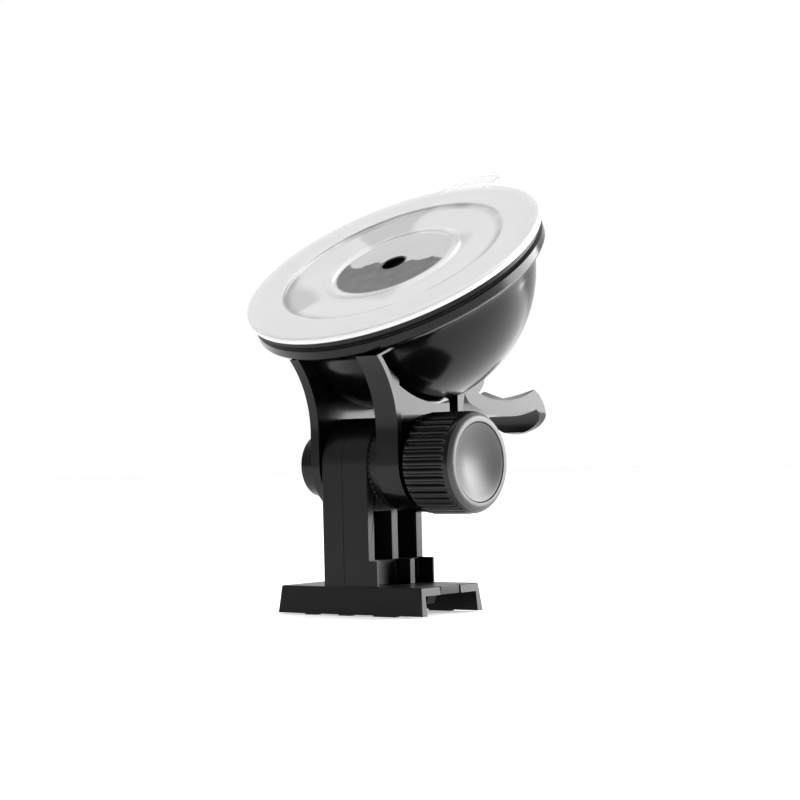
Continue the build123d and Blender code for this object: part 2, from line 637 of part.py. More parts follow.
def arm_outline():
    """Side view of the lever's curved arm and the lip at its end."""
    root, tip, end, lip_out = map(from_pin, (ARM_ROOT, ARM_TIP, ARM_END, LIP_OUT))
    lip_in, corner, heel = map(from_pin, (LIP_IN, ARM_CORNER, ARM_HEEL))
    return (ThreePointArc(root, from_pin(ARM_TOP), tip)
            + ThreePointArc(tip, from_pin(ARM_END_MIDDLE), end)
            + ThreePointArc(end, from_pin(LIP_OUT_MIDDLE), lip_out)
            + Line(lip_out, lip_in)
            + ThreePointArc(lip_in, from_pin(LIP_IN_MIDDLE), corner)
            + ThreePointArc(corner, from_pin(ARM_UNDER), heel)
            + Polyline(heel, from_pin(ARM_NECK), from_pin(ARM_CORE), root))


def lip_corners():
    """What the rounded lip leaves out below the arm."""
    half = LEVER_WIDTH / 2
    depth = LIP_TOP - LIP_OUT[1]
    low = Pos(CUP_X, PIN_Z + LIP_TOP - depth) * Rectangle(LEVER_WIDTH + 1, 2 * depth)
    low -= Pos(CUP_X, PIN_Z + LIP_TOP) * Ellipse(half, depth)
    front = Plane(origin=(0, PIN_Y + LIP_FROM, 0), x_dir=(1, 0, 0), z_dir=(0, -1, 0))
    return extrude(front * low, -10)


def cam_lever():
    """Eccentric cam with a curved arm, forked round the stem's eye."""
    x0, x1 = LEVER_X0, LEVER_X0 + LEVER_WIDTH
    cam_y = PIN_Y + CAM_OFFSET * cos(radians(CAM_PHASE))
    cam_z = PIN_Z + CAM_OFFSET * sin(radians(CAM_PHASE))
    body = side_solid(arm_outline(), x0, x1) + rod(x0, x1, CAM_R, cam_y, cam_z)
    body -= lip_corners()
    thumb = Pos(CUP_X, PIN_Y + ARM_TIP[0], PIN_Z + THUMB_LOW + THUMB_R) * Rot(90, 0, 0) * Cylinder(THUMB_R, 20)
    body -= thumb
    fork = STEM_R + FORK_PLAY
    body -= block(CUP_X - fork, CUP_X + fork, PIN_Y - FAR, PIN_Y + FORK_BACK, PIN_Z - FORK_LOW, PIN_Z + FAR)
    body -= rod(x0 - 1, x1 + 1, PIN_R + FIT / 2, PIN_Y, PIN_Z)
    return body


def lever_pin():
    """Steel pin through the lever and the stem's eye."""
    inset = 0.3
    pin = rod(LEVER_X0 + inset, LEVER_X0 + LEVER_WIDTH - inset, PIN_R, PIN_Y, PIN_Z)
    return chamfer(pin.edges(), 0.2)


write("channel_plate", channel_plate())
write("latch_tongue", latch_tongue())
write("base_screws", base_screws())
write("stalk_left", stalk_left())
write("stalk_right", stalk_right())
write("hinge_bolt", hinge_bolt())
write("bolt_plug", bolt_plug())
write("tooth_ring", tooth_ring())
write("clamp_washer", clamp_washer())
write("knob_body", knob_body())
write("knob_nut", knob_nut())
write("knob_cap", knob_cap())
write("housing", housing())
write("rim_ring", rim_ring())
write("wear_plate", wear_plate())
write("stem_guide", stem_guide())
write("suction_cup", suction_cup())
write("cup_stem", cup_stem())
write("cam_lever", cam_lever())
write("lever_pin", lever_pin())
print("pin at", round(PIN_Y, 3), round(PIN_Z, 3), "tongue axis x", round(tongue_axis_x(), 3),
      "knob", round(KNOB_BACK, 3), round(KNOB_FACE, 3))
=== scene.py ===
# %% [markdown]
# # A windscreen suction mount for a dash camera
#
# The mount has three groups of parts.  A channel on a stalk slides onto the camera.  A toothed
# hinge with a ridged knob sets the tilt.  A domed head holds a clear suction cup, and a cam lever
# behind it pulls the middle of the cup inwards so that it grips the glass.
#
# The parts arrive as a fixed, measured frame in metres.  This lesson keeps every one of them where
# it is, gives each its moulded, plated or clear finish, and rebuilds the three whose surface the plain
# solids can't show: the soft cup, the ridged knob and its dished cap.

# %% Load the measured frame
import json

import bmesh
import bpy
import numpy as np
from mathutils import Matrix, Vector


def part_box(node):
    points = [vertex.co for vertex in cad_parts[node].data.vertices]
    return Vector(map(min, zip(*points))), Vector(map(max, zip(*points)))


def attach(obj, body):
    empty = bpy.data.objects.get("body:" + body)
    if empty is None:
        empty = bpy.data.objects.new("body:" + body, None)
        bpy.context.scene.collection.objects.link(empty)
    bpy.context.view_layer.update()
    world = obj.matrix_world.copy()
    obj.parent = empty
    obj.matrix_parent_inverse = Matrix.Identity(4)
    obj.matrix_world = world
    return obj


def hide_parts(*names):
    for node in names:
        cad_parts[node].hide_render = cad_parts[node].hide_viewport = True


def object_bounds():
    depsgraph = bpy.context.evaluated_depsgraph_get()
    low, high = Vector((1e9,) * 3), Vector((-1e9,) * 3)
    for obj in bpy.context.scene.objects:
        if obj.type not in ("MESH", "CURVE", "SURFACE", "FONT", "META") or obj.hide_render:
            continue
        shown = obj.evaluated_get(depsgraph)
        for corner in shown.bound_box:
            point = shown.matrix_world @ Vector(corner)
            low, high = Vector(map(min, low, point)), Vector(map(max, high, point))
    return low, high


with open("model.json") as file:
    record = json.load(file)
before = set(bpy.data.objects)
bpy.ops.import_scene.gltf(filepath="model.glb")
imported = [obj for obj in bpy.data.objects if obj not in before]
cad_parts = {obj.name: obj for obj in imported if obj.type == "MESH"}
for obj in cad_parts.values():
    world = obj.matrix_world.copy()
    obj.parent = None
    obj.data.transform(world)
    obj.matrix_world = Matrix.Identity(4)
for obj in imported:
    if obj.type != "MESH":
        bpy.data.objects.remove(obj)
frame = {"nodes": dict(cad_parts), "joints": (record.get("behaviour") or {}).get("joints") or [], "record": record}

cad_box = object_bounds()
nodes = frame["nodes"]
print("parts in the frame:", ", ".join(sorted(nodes)))

# %% [markdown]
# ## Where things are
#
# Positions are read from the frame, not typed again.  The suction face's mount gives the cup's axis,
# and the joints give the hinge and the lever's pin.  A small matrix then carries shapes drawn about
# an upright axis into the cup's leaning frame.

# %% Read the cup's frame and the pins
mounts = {m["name"]: m for m in frame["record"]["mounts"]}
joints = {j["name"]: j for j in frame["joints"]}
cup_low, cup_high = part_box("suction_cup")
ring_low, ring_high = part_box("rim_ring")
CUP_AXIS = np.array(mounts["suction_face"]["axis"], float)
CUP_AXIS /= np.linalg.norm(CUP_AXIS)
MIDDLE_X = (ring_low.x + ring_high.x) / 2
CUP_CENTRE = np.array(mounts["suction_face"]["pos_m"], float)
CUP_CENTRE[0] = MIDDLE_X
CUP_RADIUS = (cup_high.x - cup_low.x) / 2
CUP_SIDE = np.array([1.0, 0.0, 0.0])
CUP_BACK = np.cross(CUP_AXIS, CUP_SIDE)
HINGE = np.array(joints["head_tilt"]["pos_m"], float)
print("cup centre", CUP_CENTRE.round(4), "radius", round(CUP_RADIUS, 4), "axis", CUP_AXIS.round(3))


def from_cup(points):
    """Points drawn about the cup's axis: side * x + back * y + axis * z, from the cup's centre."""
    basis = np.stack([CUP_SIDE, CUP_BACK, CUP_AXIS])
    return np.asarray(points) @ basis + CUP_CENTRE


# %% [markdown]
# ## Surfaces from numbers
#
# A turned or swept part is a grid of points: one index runs along a profile and the other round the
# part.  Blender's Spin tool or a screw modifier could turn a profile too, but a grid worked out with
# numpy leaves every size in plain sight.

# %% Make a mesh from a grid of points
def surface(name, grid, wrap_rows=False, wrap_columns=False):
    """Quads over a grid of points (rows, columns, 3); a wrapped direction joins its end to its start."""
    rows, columns = grid.shape[:2]
    index = np.arange(rows * columns).reshape(rows, columns)
    if wrap_rows:
        index = np.vstack([index, index[:1]])
    if wrap_columns:
        index = np.hstack([index, index[:, :1]])
    quads = np.stack([index[:-1, :-1], index[:-1, 1:], index[1:, 1:], index[1:, :-1]], axis=-1)
    mesh = bpy.data.meshes.new(name)
    mesh.from_pydata(grid.reshape(-1, 3).tolist(), [], quads.reshape(-1, 4).tolist())
    mesh.update()
    return mesh


def close_up(mesh, distance=2e-6):
    """Merges doubled points at poles and seams, drops empty faces and points every face outwards."""
    work = bmesh.new()
    work.from_mesh(mesh)
    bmesh.ops.remove_doubles(work, verts=work.verts, dist=distance)
    bmesh.ops.dissolve_degenerate(work, edges=work.edges, dist=distance / 2)
    bmesh.ops.recalc_face_normals(work, faces=work.faces)
    work.to_mesh(mesh)
    work.free()


def place(name, mesh, body, material, replaced=(), crease=35):
    """Links a finished mesh, shades it smooth up to a crease angle and lets it ride on its body."""
    close_up(mesh)
    piece = bpy.data.objects.new(name, mesh)
    bpy.context.scene.collection.objects.link(piece)
    mesh.shade_smooth()
    mesh.set_sharp_from_angle(angle=np.radians(crease))
    mesh.materials.append(material)
    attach(piece, body)
    if replaced:
        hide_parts(*replaced)
    print(f"{name}: {len(mesh.polygons)} faces, rides on {body}")
    return piece


# %% [markdown]
# A moulded corner is never a knife edge, so profiles are drawn as corners with a radius.  Each corner
# becomes a short curve that starts and ends on its two sides.

# %% Round the corners of a profile
LONGEST_CUT = 0.45


def rounded(corners, steps=5, closed=True):
    """Profile through (a, b, radius) corners.

    Each corner is a quadratic curve: (1 - t)^2 * start + 2 t (1 - t) * corner + t^2 * end, where start
    and end lie one radius along the two sides, or 45 % of a side that is shorter.
    """
    points = np.array([c[:2] for c in corners], float)
    radii = np.array([c[2] for c in corners], float)
    before = np.roll(points, 1, axis=0) - points
    after = np.roll(points, -1, axis=0) - points
    t = np.linspace(0, 1, steps)[:, None]
    pieces = []
    for at, back, forth, radius in zip(points, before, after, radii):
        start = at + back * min(radius / np.linalg.norm(back), LONGEST_CUT)
        end = at + forth * min(radius / np.linalg.norm(forth), LONGEST_CUT)
        pieces.append((1 - t) ** 2 * start + 2 * t * (1 - t) * at + t ** 2 * end)
    if not closed:
        pieces[0] = points[:1]
        pieces[-1] = points[-1:]
    return np.vstack(pieces)


def denser(profile, step, closed=True):
    """The same profile with points no further apart than step, so that long sides bend smoothly."""
    ends = np.roll(profile, -1, axis=0) if closed else profile[1:]
    starts = profile if closed else profile[:-1]
    out = []
    for a, b in zip(starts, ends):
        count = max(1, int(np.ceil(np.linalg.norm(b - a) / step)))
        out.append(a + (b - a) * np.linspace(0, 1, count, endpoint=False)[:, None])
    if not closed:
        out.append(profile[-1:])
    return np.vstack(out)


# %% [markdown]
# ## Shader maths as plain expressions
#
# A finish is a small network of nodes.  Writing it as links by hand hides the idea, so one class
# wraps a socket and lets `1 - mask` or `noise * 0.2` add the Math node that it means.

# %% A socket that does arithmetic
class Net:
    """Node tree of one material, with its Principled shader."""

    def __init__(self, name):
        self.material = bpy.data.materials.new(name)
        self.material.use_nodes = True
        self.tree = self.material.node_tree
        self.shader = self.tree.nodes["Principled BSDF"]

    def node(self, kind, settings=None, inputs=None, output=0):
        """Adds one node: settings are its own properties, inputs its sockets' values or links."""
        made = self.tree.nodes.new(kind)
        for key, value in (settings or {}).items():
            setattr(made, key, value)
        for key, value in (inputs or {}).items():
            self.plug(value, made.inputs[key])
        return Sock(self, made.outputs[output])

    def plug(self, value, socket):
        """Links a wrapped socket, or sets a plain value."""
        if isinstance(value, Sock):
            self.tree.links.new(value.socket, socket)
        else:
            socket.default_value = value

    def set(self, **values):
        """Sets or links the Principled shader's inputs; underscores stand for spaces."""
        for key, value in values.items():
            self.plug(value, self.shader.inputs[key.replace("_", " ")])

    def place(self):
        """The point on the surface, in metres, in the object's own frame."""
        return self.node("ShaderNodeTexCoord", output="Object")

    def noise(self, scale, detail=3.0, rough=0.55, at=None):
        """Noise from 0 to 1 whose features are about 1 / scale metres."""
        return self.node("ShaderNodeTexNoise", inputs={
            "Vector": at or self.place(), "Scale": scale, "Detail": detail, "Roughness": rough})

    def mix(self, factor, first, second):
        """Colour that goes from first to second as factor goes from 0 to 1."""
        return self.node("ShaderNodeMix", {"data_type": "RGBA"}, {
            "Factor": factor, "A": first, "B": second}, output="Result")

    def bump(self, height, strength, distance):
        """Normal from a height in 0 to 1 that stands for that distance in metres."""
        return self.node("ShaderNodeBump", inputs={
            "Height": height, "Strength": strength, "Distance": distance})


class Sock:
    """A node's output that adds Math nodes when it is used in an expression."""

    def __init__(self, net, socket):
        self.net = net
        self.socket = socket

    def _math(self, operation, first, second, clamp=False):
        return self.net.node("ShaderNodeMath", {"operation": operation, "use_clamp": clamp},
                             {0: first, 1: second})

    def __add__(self, other):
        return self._math("ADD", self, other)

    def __radd__(self, other):
        return self._math("ADD", other, self)

    def __sub__(self, other):
        return self._math("SUBTRACT", self, other)

    def __rsub__(self, other):
        return self._math("SUBTRACT", other, self)

    def __mul__(self, other):
        return self._math("MULTIPLY", self, other)

    def __rmul__(self, other):
        return self._math("MULTIPLY", other, self)

    def clamped(self):
        """The value kept between 0 and 1."""
        return self._math("ADD", self, 0.0, clamp=True)


def grey(value, warm=0.0):
    """A neutral colour, a little warmer or cooler."""
    return (value * (1 + warm), value, value * (1 - warm), 1)


# %% [markdown]
# ## Black mouldings
#
# Every black part is the same kind of plastic with another tool finish.  The dome is almost polished,
# the stalk and channel are spark-eroded to a fine grain, and the knob and lever are in between.  The
# knob's cap is the palest of them, with a satin finish.  Fine noise in the normal gives the grain, and
# a slower noise gives the cloudy shine of moulded plastic and the wider patches left by handling.

# %% A moulded plastic
CLOUD_SIZE = 0.018
HANDLED = 0.07
GRAINY_SHINE = 0.08


def moulded(name, tone, gloss, grain, grain_size, ior=1.5):
    """Black plastic: tone is its grey, gloss its roughness, grain the depth of its texture in metres."""
    net = Net(name)
    cloud = net.noise(1 / CLOUD_SIZE, detail=2.0)
    fine = net.noise(1 / grain_size, detail=2.0, rough=0.6)
    net.set(
        Base_Color=net.mix(cloud, grey(tone * 0.75), grey(tone * 1.25)),
        Roughness=(gloss + (cloud - 0.5) * HANDLED + (fine - 0.5) * GRAINY_SHINE).clamped(),
        Normal=net.bump(fine, 0.5, grain),
        IOR=ior,
    )
    return net.material


dome_black = moulded("dome_black", tone=0.002, gloss=0.18, grain=0.0000012, grain_size=0.0009, ior=1.34)
stalk_black = moulded("stalk_black", tone=0.004, gloss=0.34, grain=0.000005, grain_size=0.0004, ior=1.34)
knob_black = moulded("knob_black", tone=0.003, gloss=0.26, grain=0.000002, grain_size=0.0005, ior=1.4)
cap_black = moulded("cap_black", tone=0.03, gloss=0.45, grain=0.000002, grain_size=0.0005, ior=1.62)
lever_black = moulded("lever_black", tone=0.006, gloss=0.3, grain=0.000001, grain_size=0.0008, ior=1.4)
ring_black = moulded("ring_black", tone=0.005, gloss=0.45, grain=0.000004, grain_size=0.0004, ior=1.38)
bearing_grey = moulded("bearing_grey", tone=0.015, gloss=0.25, grain=0.000004, grain_size=0.0005)
print("black finishes:", [m.name for m in bpy.data.materials if m.name.endswith("black")])

# %% [markdown]
# ## Plated steel
#
# The bolt, screws, nut, washer and pin are zinc plated: metallic, pale and faintly brushed.  Noise that
# is squeezed along the bolt's direction gives marks that run round it, as turning leaves them.

# %% Steel
MARK_SIZE = 0.002


def plated(name):
    """Zinc-plated steel with fine turning marks across X."""
    net = Net(name)
    squeezed = net.node("ShaderNodeMapping", inputs={"Vector": net.place(), "Scale": (9.0, 1.0, 1.0)})
    marks = net.noise(1 / MARK_SIZE, detail=3.0, at=squeezed)
    net.set(
        Base_Color=net.mix(marks, grey(0.5, 0.01), grey(0.68, 0.01)),
        Metallic=1.0,
        Roughness=0.24 + marks * 0.16,
        Normal=net.bump(marks, 0.3, 0.00001),
    )
    return net.material


steel = plated("plated_steel")
print("steel made")

# %% [markdown]
# ## Where a point is on the cup
#
# The cup's finish changes with the distance from its axis and with the side it is on.  An image could
# hold that pattern, but a distance worked out in the shader stays sharp at any size.

# %% Distances on the cup
STEP_RADIUS = 0.0265
EYE_RADIUS = 0.0027
stem_low, stem_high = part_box("cup_stem")
PLATE_RADIUS = (stem_high.x - stem_low.x) / 2


def across(net, direction):
    """Distance of the surface's point from the cup's centre along a direction, in metres."""
    dot = net.node("ShaderNodeVectorMath", {"operation": "DOT_PRODUCT"}, {
        0: net.place(), 1: tuple(direction)}, output="Value")
    return dot - float(np.dot(direction, CUP_CENTRE))


def cup_radius(net):
    """Distance of the surface's point from the cup's axis: square root of side^2 + back^2, in metres."""
    side = across(net, CUP_SIDE)
    back = across(net, CUP_BACK)
    return net.node("ShaderNodeMath", {"operation": "SQRT"}, {0: side * side + back * back})


def smooth(net, value, low, high):
    """Rises smoothly from 0 to 1 while the value goes from low to high."""
    return net.node("ShaderNodeMapRange", {"interpolation_type": "SMOOTHSTEP"}, {
        "Value": value, "From Min": low, "From Max": high})


print("plate under the cup's skin:", round(PLATE_RADIUS * 1000, 2), "mm in radius")

# %% [markdown]
# ## Clear vinyl
#
# The cup is soft clear vinyl.  It passes light, yet looks milky, because the light also scatters in it,
# so the shader shares its light between transmission and a near-white body.  Two places differ.  Over
# the stem's plate the skin is opaque, with painted shade over its front half, a painted reflection over
# the back half and painted shade round the eye.  The thin pull tab has nothing behind it and is almost
# wholly clear.  Each is a shader of its own, and a Mix Shader with a mask picks the one that shows.

# %% The milky body
MILKY = ((0.86, 0.865, 0.865, 1), (0.95, 0.955, 0.955, 1))
VEILED = (0.42, 0.425, 0.425, 1)
STEP_SHADE = (0.34, 0.345, 0.345, 1)
VEIL_SIZE = 0.022
VINYL_IOR = 1.45


def milky_body(net, slow, radius):
    """Colour of the body: milky, with grey veils and a shaded arc where the dished middle begins."""
    dished = smooth(net, radius, STEP_RADIUS + 0.0002, STEP_RADIUS - 0.0006)
    veil = smooth(net, net.noise(1 / VEIL_SIZE, detail=1.0, rough=0.3), 0.53, 0.6) * dished
    step = smooth(net, radius, STEP_RADIUS - 0.0028, STEP_RADIUS - 0.0008) * dished
    shaded = net.mix(veil * 0.55, net.mix(slow, *MILKY), VEILED)
    return net.mix((step * (slow * 3.2 - 1.0)).clamped(), shaded, STEP_SHADE)


# %% The skin over the plate and the clear tab
def skin_over_plate(net, slow, fine, radius, wave):
    """Shader of the skin: painted shade over its front half, a painted reflection over the back half, painted
    shade round the eye.
    """
    # Painted light: across the back direction the skin turns from painted shade in front to a painted reflection
    # behind.
    border = across(net, CUP_BACK) + (fine - 0.5) * 0.006 + (slow - 0.5) * 0.012
    painted_shade_half = smooth(net, border, 0.0006, -0.0008)
    painted_shade_and_reflection = net.mix(painted_shade_half, net.mix(slow, grey(0.5), grey(0.68)), net.mix(fine, grey(0.03), grey(0.16)))
    # Painted shade: the skin round the eye is coloured near black, as the shadow of the hole.
    eye = smooth(net, radius, EYE_RADIUS + 0.0007, EYE_RADIUS + 0.0003)
    return net.node("ShaderNodeBsdfPrincipled", inputs={
        "Base Color": net.mix(eye, painted_shade_and_reflection, grey(0.005)), "Roughness": 0.08 + slow * 0.08,
        "Normal": wave, "IOR": VINYL_IOR}, output="BSDF")


def clear_tab(net, slow, fine, wave):
    """Shader of the thin tab: clear, and bending the light only a little."""
    return net.node("ShaderNodeBsdfPrincipled", inputs={
        "Base Color": net.mix(fine, grey(0.93), grey(0.98)), "Roughness": 0.05 + slow * 0.06,
        "Normal": wave, "Transmission Weight": 1.0, "IOR": 1.12}, output="BSDF")


# %% The whole cup's finish
def blend(net, factor, first, second):
    """Shader that goes from first to second as factor goes from 0 to 1."""
    return net.node("ShaderNodeMixShader", inputs={0: factor, 1: first, 2: second}, output="Shader")


def vinyl(name):
    """Soft vinyl: the milky body, the skin inside the plate's radius, and the tab beyond the lip."""
    net = Net(name)
    slow = net.noise(1 / 0.016, detail=2.0)
    fine = net.noise(1 / 0.004, detail=2.0)
    radius = cup_radius(net)
    wave = net.bump(slow * 0.8 + fine * 0.2, 0.35, 0.0004)
    net.set(
        Base_Color=milky_body(net, slow, radius),
        Roughness=0.12 + slow * 0.1,
        Normal=wave,
        Transmission_Weight=0.2,
        IOR=VINYL_IOR,
        Coat_Weight=0.3,
        Coat_Roughness=0.04,
    )
    body = Sock(net, net.shader.outputs["BSDF"])
    plate = smooth(net, radius, PLATE_RADIUS + 0.0005, PLATE_RADIUS - 0.0003)
    tab = smooth(net, across(net, CUP_BACK), CUP_RADIUS + 0.0001, CUP_RADIUS + 0.0009)
    both = blend(net, plate, body, skin_over_plate(net, slow, fine, radius, wave))
    whole = blend(net, tab * 0.85, both, clear_tab(net, slow, fine, wave))
    net.plug(whole, net.tree.nodes["Material Output"].inputs["Surface"])
    return net.material


clear_vinyl = vinyl("clear_vinyl")
print("vinyl made:", len(clear_vinyl.node_tree.nodes), "nodes")

# %% [markdown]
# ## Finishes on the measured parts
#
# The mouldings and fasteners keep their measured shape.  The channel, latch tongue, right stalk half,
# housing and lever have their corners broken by a narrow bevel, as a mould breaks them, and that thin
# bright line along each edge is most of what makes a black part readable.  The flat triangles are first
# joined into whole faces, so that the bevel runs along real edges only, and the normals are weighted by area, so
# that the flats stay flat.

# %% Dress the measured parts
DOUBLED = 1e-6
SAME_PLANE = 0.4
REAL_EDGE = 30


def dress(name, material, bevel, clamp):
    """Gives a measured part its finish and, where bevel isn't 0, a narrow rounded edge."""
    part = nodes[name]
    part.data.materials.clear()
    part.data.materials.append(material)
    if bevel:
        weld = part.modifiers.new("weld", "WELD")
        weld.merge_threshold = DOUBLED
        whole = part.modifiers.new("whole_faces", "DECIMATE")
        whole.decimate_type = "DISSOLVE"
        whole.angle_limit = np.radians(SAME_PLANE)
        edge = part.modifiers.new("edge", "BEVEL")
        edge.width = bevel
        edge.segments = 2
        edge.limit_method = "ANGLE"
        edge.angle_limit = np.radians(REAL_EDGE)
        edge.use_clamp_overlap = clamp
        flat = part.modifiers.new("flat_faces", "WEIGHTED_NORMAL")
        flat.weight = 60
        flat.mode = "FACE_AREA_WITH_ANGLE"


FINISHES = {
    "channel_plate": (stalk_black, 0.00012), "latch_tongue": (stalk_black, 0.0001),
    "stalk_left": (stalk_black, 0.0), "stalk_right": (stalk_black, 0.00014),
    "tooth_ring": (stalk_black, 0.0), "housing": (dome_black, 0.0002), "bolt_plug": (dome_black, 0.0),
    "rim_ring": (ring_black, 0.0), "cam_lever": (lever_black, 0.0003),
    "cup_stem": (bearing_grey, 0.0), "stem_guide": (bearing_grey, 0.0), "wear_plate": (steel, 0.0),
    "hinge_bolt": (steel, 0.0), "base_screws": (steel, 0.0), "clamp_washer": (steel, 0.0),
    "knob_nut": (steel, 0.0), "lever_pin": (steel, 0.0),
}
for name, (material, bevel) in FINISHES.items():
    dress(name, material, bevel, clamp=not name.startswith("stalk"))
print(len(FINISHES), "parts dressed")

# %% [markdown]
# ## The suction cup
#
# The cup is moulded soft vinyl: a thin lip, a flat sealing band, a step down into the dished middle, a
# low bead round the skin over the stem's plate, and an eye in the very middle.  One round profile
# would give all of that except the pull tab, so the outer rows of the grid follow an outline instead:
# a circle with a rounded tab.  The rows between are straight blends from circle to outline.

# %% The cup's outline with its pull tab
TAB_HALF = 0.0065
TAB_END = CUP_RADIUS + 0.007
TAB_CORNER = 0.0045
TAB_ROOT = 0.003


def arc(centre, radius, start, end, count):
    """Points centre + radius * (cos, sin) of angles from start to end, in degrees."""
    angle = np.radians(np.linspace(start, end, count))
    return np.array(centre) + radius * np.stack([np.cos(angle), np.sin(angle)], axis=1)


def cup_outline():
    """Closed outline: the lip's circle, a root fillet each side, and a tab with round corners."""
    reach = CUP_RADIUS + TAB_ROOT
    fillet_x = TAB_HALF + TAB_ROOT
    fillet_y = np.sqrt(reach ** 2 - fillet_x ** 2)
    touch = np.degrees(np.arctan2(fillet_y, fillet_x))
    lip = arc((0, 0), CUP_RADIUS, -270 + (90 - touch), touch, 220)
    root = arc((fillet_x, fillet_y), TAB_ROOT, touch + 180, 180, 10)[1:]
    corner = arc((TAB_HALF - TAB_CORNER, TAB_END - TAB_CORNER), TAB_CORNER, 0, 90, 14)
    right = np.vstack([root, corner])
    left = right[::-1] * np.array([-1, 1])
    return np.vstack([lip, right, left[:-1]])


def outward(outline):
    """Unit normals of a closed outline that runs anticlockwise: its direction turned by -90 degrees."""
    along = np.roll(outline, -1, axis=0) - np.roll(outline, 1, axis=0)
    along /= np.linalg.norm(along, axis=1, keepdims=True)
    return np.stack([along[:, 1], -along[:, 0]], axis=1)


outline = cup_outline()
print("outline:", len(outline), "points, reaches", round(float(outline[:, 1].max()) * 1000, 1), "mm")

# %% The cup's surface
LIP = 0.0015
DISH = 0.001
SKIN = 0.0014
BEAD_WALL = 0.0006
BEAD_HEIGHT = 0.00035
HUB = 0.0152
HUB_END = 0.0088
BLEND_FROM = 0.0325
TAB_SINK = 0.0003


def cup():
    """Rows of (radius or inset, height): circles inside, insets of the outline at the lip.

    The tab's face sinks by TAB_SINK * t^2 (3 - 2 t), where t goes from 0 to 1 just past the lip.
    """
    eye = EYE_RADIUS
    bead = PLATE_RADIUS + BEAD_WALL
    top = rounded([
        (eye, -DISH - SKIN, 0), (eye, -DISH + 0.00005, 0.0003), (eye + 0.001, -DISH, 0.0004),
        (bead, -DISH, 0.0004), (bead + 0.0006, -DISH + BEAD_HEIGHT, 0.0003),
        (bead + 0.0014, -DISH + BEAD_HEIGHT, 0.0003), (bead + 0.0022, -DISH, 0.0005),
        (STEP_RADIUS - 0.0006, -0.0005, 0.0003), (STEP_RADIUS, 0, 0.0002), (BLEND_FROM, 0, 0)],
        closed=False)
    top = denser(top, 0.0012, closed=False)
    under = rounded([
        (BLEND_FROM, -LIP, 0), (0.030, -LIP, 0.001), (HUB + 0.002, -0.0031, 0.001),
        (HUB, -0.0045, 0.0006), (HUB - 0.0003, -HUB_END, 0.0005), (eye + 0.0002, -HUB_END, 0.0003),
        (eye, -DISH - SKIN, 0)], closed=False)
    under = denser(under, 0.0015, closed=False)[:-1]
    normal = outward(outline)
    angle = np.arctan2(outline[:, 1], outline[:, 0])
    ring = np.stack([np.cos(angle), np.sin(angle)], axis=1)
    tab = np.clip((outline[:, 1] - CUP_RADIUS - 0.0002) / 0.0012, 0, 1)
    sunk = TAB_SINK * tab * tab * (3 - 2 * tab)
    heights = [(0.0017, 0.0, 1.0), (0.0013, 0.0, 1.0), (0.0009, 0.0, 0.3), (0.0005, 0.0, 0.0),
               (0.00016, -0.0001, 0.0), (0.0, -0.00045, 0.0), (0.0, -0.0011, 0.0), (0.00016, -0.0014, 0.0),
               (0.0005, -LIP, 0.0), (0.0016, -LIP, 0.0)]
    rows = [np.column_stack([ring * radius, np.full(len(ring), height)]) for radius, height in top]
    rows += [np.column_stack([outline - normal * inset, height - sunk * share])
             for inset, height, share in heights]
    rows += [np.column_stack([ring * radius, np.full(len(ring), height)]) for radius, height in under]
    grid = from_cup(np.array(rows))
    return surface("vinyl_cup", grid, wrap_rows=True, wrap_columns=True)


place("vinyl_cup", cup(), "head", clear_vinyl, replaced=["suction_cup"], crease=50)

# %% [markdown]
# ## The knob
#
# The knob's grip has 38 ridges that fade out before its face.  Cutting 38 grooves with booleans would
# leave hard creases, so the radius is written as a function of the angle round the hinge and the
# place along it: a smooth body, less a wave whose depth fades at both ends.  The rim of the face has
# the satin finish of the cap inside it, so those faces take the cap's material.

# %% The knob's ridged body
RIDGES = 38
RIDGE_DEPTH = 0.0008
BORE_RADIUS = 0.0026
SATIN_WIDTH = 0.0009
knob_low, knob_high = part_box("knob_body")
cap_low, cap_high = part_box("knob_cap")
KNOB_RADIUS = (knob_high.z - knob_low.z) / 2
CAP_RADIUS = (cap_high.z - cap_low.z) / 2


def about_hinge(along, radius, angle):
    """Points at a place along X, a radius and an angle about the hinge's axis."""
    return np.stack([along, HINGE[1] + radius * np.cos(angle), HINGE[2] + radius * np.sin(angle)], axis=-1)


